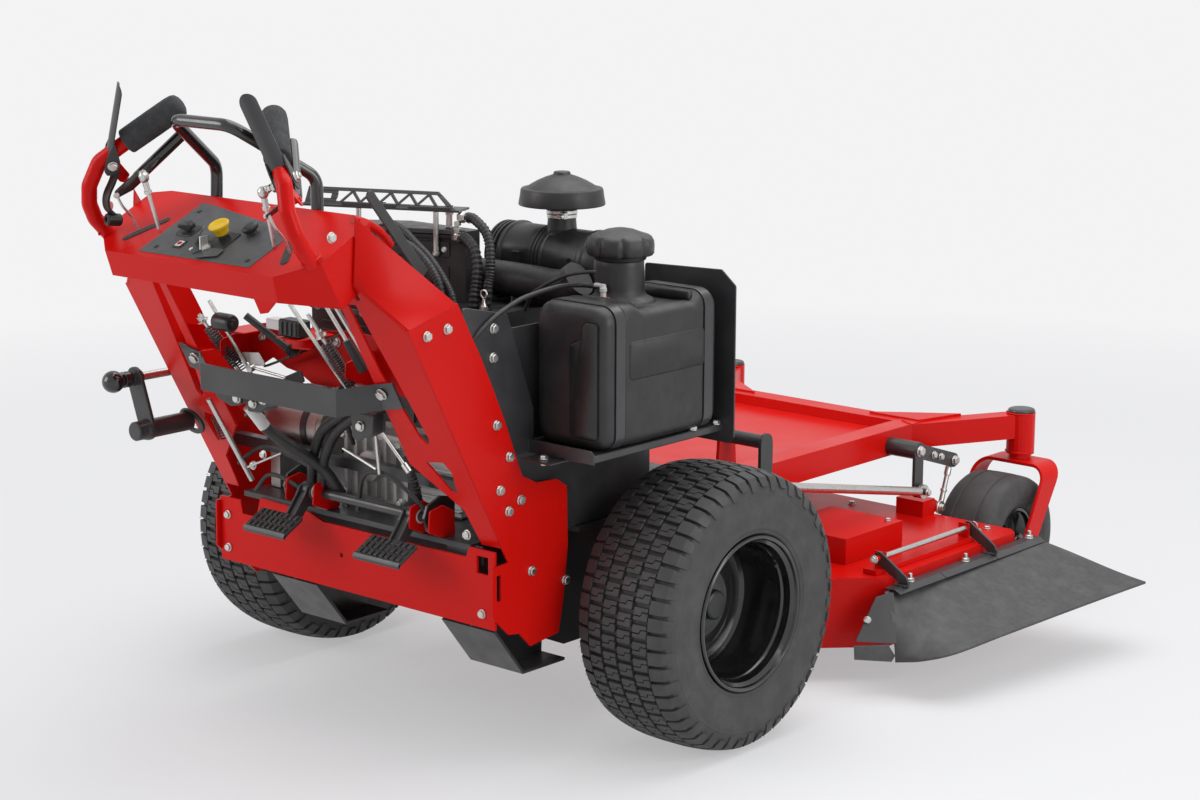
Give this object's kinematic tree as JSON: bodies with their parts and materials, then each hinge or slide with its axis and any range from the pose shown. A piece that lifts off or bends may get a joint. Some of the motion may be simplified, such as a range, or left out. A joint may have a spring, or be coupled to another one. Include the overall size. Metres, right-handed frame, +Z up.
{
  "type": "walk-behind mower",
  "caption": "Wide-area walk-behind mower: handle console, drive wheels, engine, fuel tank, floating deck with side discharge chute and front casters.",
  "frame": {"origin": "bottom centre of the bounding box, on the ground", "axes": "+X to the operator's right (discharge side), +Y forward, +Z up"},
  "size_m": [1.6886, 2.4028, 1.4215],
  "materials": {
    "red_paint": "gloss paint",
    "black_paint": "satin paint",
    "rubber": "matt",
    "foam": "matt",
    "black_plastic": "satin textured",
    "zinc_steel": "bright zinc plate",
    "cast_aluminium": "as cast",
    "yellow_plastic": "satin"
  },
  "bodies": {
    "machine": {"air_cleaner": "black_plastic", "control_console": "red_paint", "cross_bar": "black_paint", "cross_strap": "black_paint", "engine_block": "cast_aluminium", "engine_frame": "black_paint", "engine_guard": "black_paint", "engine_shroud": "black_plastic", "foam_grip_left": "foam", "foam_grip_right": "foam", "front_frame": "red_paint", "fuel_tank": "black_plastic", "grip_tube_left": "red_paint", "grip_tube_right": "red_paint", "intake_duct": "rubber", "muffler": "zinc_steel", "rain_cap": "black_plastic", "rear_bumper": "red_paint", "reference_bar": "black_paint", "tank_cradle": "black_paint", "upright_left": "red_paint", "upright_right": "red_paint", "wheel_motor_left": "cast_aluminium", "wheel_motor_right": "cast_aluminium"},
    "drive_wheel_left": {"drive_tyre_left": "rubber", "drive_rim_left": "black_paint"},
    "caster_left": {"caster_fork_left": "red_paint"},
    "caster_roller_left": {"caster_wheel_left": "rubber"},
    "presence_left": {"presence_blade_left": "black_paint"},
    "lever_left": {"drive_lever_left": "black_paint"},
    "crank_left": {"front_crank_left": "black_paint"},
    "rod_left": {"push_rod_left": "zinc_steel"},
    "link_left": {"drop_link_left": "zinc_steel"},
    "drive_wheel_right": {"drive_tyre_right": "rubber", "drive_rim_right": "black_paint"},
    "caster_right": {"caster_fork_right": "red_paint"},
    "caster_roller_right": {"caster_wheel_right": "rubber"},
    "presence_right": {"presence_blade_right": "black_paint"},
    "lever_right": {"drive_lever_right": "black_paint"},
    "crank_right": {"front_crank_right": "black_paint"},
    "rod_right": {"push_rod_right": "zinc_steel"},
    "link_right": {"drop_link_right": "zinc_steel"},
    "blade_left": {"spindle_blade_left": "black_paint"},
    "blade_middle": {"spindle_blade_middle": "black_paint"},
    "blade_right": {"spindle_blade_right": "black_paint"},
    "deck": {"deck_shell": "red_paint", "belt_cover_left": "red_paint", "belt_cover_right": "red_paint", "chute_bracket": "red_paint"},
    "chute": {"chute_deflector": "rubber"},
    "lift": {"lift_shaft": "black_paint"},
    "blade_switch": {"blade_switch_knob": "yellow_plastic"},
    "choke": {"choke_knob": "black_plastic"},
    "throttle": {"throttle_lever": "black_plastic"},
    "key": {"ignition_key": "zinc_steel"},
    "cap": {"fuel_cap": "black_plastic"},
    "pedal_lift": {"lift_pedal": "black_paint"},
    "pedal_brake": {"brake_pedal": "black_paint"},
    "lock": {"lock_lever": "black_paint"},
    "lock_plunger": {"lock_pin": "zinc_steel"}
  },
  "joints": [
    {"name": "drive_wheel_spin_left", "type": "hinge", "parent": "machine", "child": "drive_wheel_left", "pos_m": [-0.72375, -0.28718, 0.30359], "axis": [1, 0, 0], "continuous": true},
    {"name": "caster_swivel_left", "type": "hinge", "parent": "machine", "child": "caster_left", "pos_m": [-0.59575, 1.14782, 0.35059], "axis": [0, 0, 1], "continuous": true},
    {"name": "caster_spin_left", "type": "hinge", "parent": "caster_left", "child": "caster_roller_left", "pos_m": [-0.59575, 1.03782, 0.16359], "axis": [1, 0, 0], "continuous": true},
    {"name": "presence_squeeze_left", "type": "hinge", "parent": "machine", "child": "presence_left", "pos_m": [-0.38475, -1.15618, 1.25459], "axis": [-0.7628, 0.4674, 0.4469], "range_deg": [0, 9], "stiffness_Nm_per_rad": 3, "springref_deg": -14.32},
    {"name": "drive_lever_turn_left", "type": "hinge", "parent": "machine", "child": "lever_left", "pos_m": [-0.36175, -1.13518, 1.20459], "axis": [-0.7628, 0.4674, 0.4469], "range_deg": [-7, 14], "stiffness_Nm_per_rad": 12},
    {"name": "drive_wheel_spin_right", "type": "hinge", "parent": "machine", "child": "drive_wheel_right", "pos_m": [0.47225, -0.28718, 0.30359], "axis": [1, 0, 0], "continuous": true},
    {"name": "caster_swivel_right", "type": "hinge", "parent": "machine", "child": "caster_right", "pos_m": [0.34425, 1.14782, 0.35059], "axis": [0, 0, 1], "continuous": true},
    {"name": "caster_spin_right", "type": "hinge", "parent": "caster_right", "child": "caster_roller_right", "pos_m": [0.34425, 1.03782, 0.16359], "axis": [1, 0, 0], "continuous": true},
    {"name": "presence_squeeze_right", "type": "hinge", "parent": "machine", "child": "presence_right", "pos_m": [0.13325, -1.15618, 1.25459], "axis": [-0.7628, -0.4674, -0.4469], "range_deg": [0, 9], "stiffness_Nm_per_rad": 3, "springref_deg": -14.32},
    {"name": "drive_lever_turn_right", "type": "hinge", "parent": "machine", "child": "lever_right", "pos_m": [0.11025, -1.13518, 1.20459], "axis": [-0.7628, -0.4674, -0.4469], "range_deg": [-7, 14], "stiffness_Nm_per_rad": 12},
    {"name": "deck_height", "type": "slide", "parent": "machine", "child": "deck", "axis": [0, 0, 1], "range_m": [-0.03, 0.035]},
    {"name": "front_crank_turn_left", "type": "hinge", "parent": "machine", "child": "crank_left", "pos_m": [-0.54975, 0.75182, 0.42859], "axis": [1, 0, 0], "range_deg": [-12, 13]},
    {"name": "drop_link_turn_left", "type": "hinge", "parent": "crank_left", "child": "link_left", "pos_m": [-0.54545, 0.90782, 0.37859], "axis": [1, 0, 0], "range_deg": [-18, 17]},
    {"name": "front_crank_turn_right", "type": "hinge", "parent": "machine", "child": "crank_right", "pos_m": [0.29825, 0.75182, 0.42859], "axis": [1, 0, 0], "range_deg": [-12, 13]},
    {"name": "drop_link_turn_right", "type": "hinge", "parent": "crank_right", "child": "link_right", "pos_m": [0.29395, 0.90782, 0.37859], "axis": [1, 0, 0], "range_deg": [-18, 17]},
    {"name": "lift_shaft_turn", "type": "hinge", "parent": "machine", "child": "lift", "pos_m": [-0.12575, 0.13282, 0.55559], "axis": [1, 0, 0], "range_deg": [-12, 13]},
    {"name": "push_rod_turn_left", "type": "hinge", "parent": "lift", "child": "rod_left", "pos_m": [-0.56625, 0.13282, 0.45559], "axis": [1, 0, 0], "range_deg": [-13, 12]},
    {"name": "push_rod_turn_right", "type": "hinge", "parent": "lift", "child": "rod_right", "pos_m": [0.31475, 0.13282, 0.45559], "axis": [1, 0, 0], "range_deg": [-13, 12]},
    {"name": "blade_spin_left", "type": "hinge", "parent": "deck", "child": "blade_left", "pos_m": [-0.54575, 0.41282, 0.24859], "axis": [0, 0, 1], "continuous": true},
    {"name": "blade_spin_middle", "type": "hinge", "parent": "deck", "child": "blade_middle", "pos_m": [-0.12575, 0.61082, 0.24859], "axis": [0, 0, 1], "continuous": true},
    {"name": "blade_spin_right", "type": "hinge", "parent": "deck", "child": "blade_right", "pos_m": [0.29425, 0.41282, 0.24859], "axis": [0, 0, 1], "continuous": true},
    {"name": "chute_lift", "type": "hinge", "parent": "deck", "child": "chute", "pos_m": [0.49425, 0.31282, 0.28359], "axis": [0, -1, 0], "range_deg": [0, 85]},
    {"name": "lift_pedal_press", "type": "hinge", "parent": "machine", "child": "pedal_lift", "pos_m": [-0.25075, -0.75718, 0.51859], "axis": [1, 0, 0], "range_deg": [-16, 18]},
    {"name": "brake_pedal_press", "type": "hinge", "parent": "machine", "child": "pedal_brake", "pos_m": [0.06425, -0.75718, 0.51859], "axis": [1, 0, 0], "range_deg": [0, 24]},
    {"name": "lock_lever_swing", "type": "hinge", "parent": "machine", "child": "lock", "pos_m": [-0.52575, -0.97718, 0.64859], "axis": [0, -1, 0], "range_deg": [0, 30]},
    {"name": "lock_pin_pull", "type": "slide", "parent": "lock", "child": "lock_plunger", "axis": [0, -1, 0], "range_m": [0, 0.02], "stiffness_N_per_m": 400, "springref_m": -0.01},
    {"name": "blade_switch_pull", "type": "slide", "parent": "machine", "child": "blade_switch", "axis": [0, -0.4508, 0.8926], "range_m": [0, 0.012]},
    {"name": "choke_pull", "type": "slide", "parent": "machine", "child": "choke", "axis": [0, -0.4508, 0.8926], "range_m": [0, 0.025]},
    {"name": "throttle_turn", "type": "hinge", "parent": "machine", "child": "throttle", "pos_m": [-0.22075, -1.08916, 1.10298], "axis": [1, 0, 0], "range_deg": [-20, 20]},
    {"name": "key_turn", "type": "hinge", "parent": "machine", "child": "key", "pos_m": [-0.11475, -1.14218, 1.09861], "axis": [0, -0.4508, 0.8926], "range_deg": [-90, 0]},
    {"name": "fuel_cap_turn", "type": "hinge", "parent": "machine", "child": "cap", "pos_m": [0.34925, -0.43718, 1.05959], "axis": [0, 0, 1], "range_deg": [0, 90]}
  ],
  "couplings": [
    {"joint": "front_crank_turn_left", "follows": "deck_height", "rad_per_m": 5.78},
    {"joint": "front_crank_turn_right", "follows": "deck_height", "rad_per_m": 5.78},
    {"joint": "lift_shaft_turn", "follows": "deck_height", "rad_per_m": 5.78},
    {"joint": "push_rod_turn_left", "follows": "deck_height", "rad_per_m": -5.78},
    {"joint": "push_rod_turn_right", "follows": "deck_height", "rad_per_m": -5.78},
    {"joint": "drop_link_turn_left", "follows": "deck_height", "rad_per_m": -8.2307},
    {"joint": "drop_link_turn_right", "follows": "deck_height", "rad_per_m": -8.2307},
    {"joint": "lift_pedal_press", "follows": "deck_height", "rad_per_m": 7.5},
    {"joint": "blade_spin_left", "follows": "blade_spin_middle", "ratio": 1},
    {"joint": "blade_spin_right", "follows": "blade_spin_middle", "ratio": 1}
  ]
}
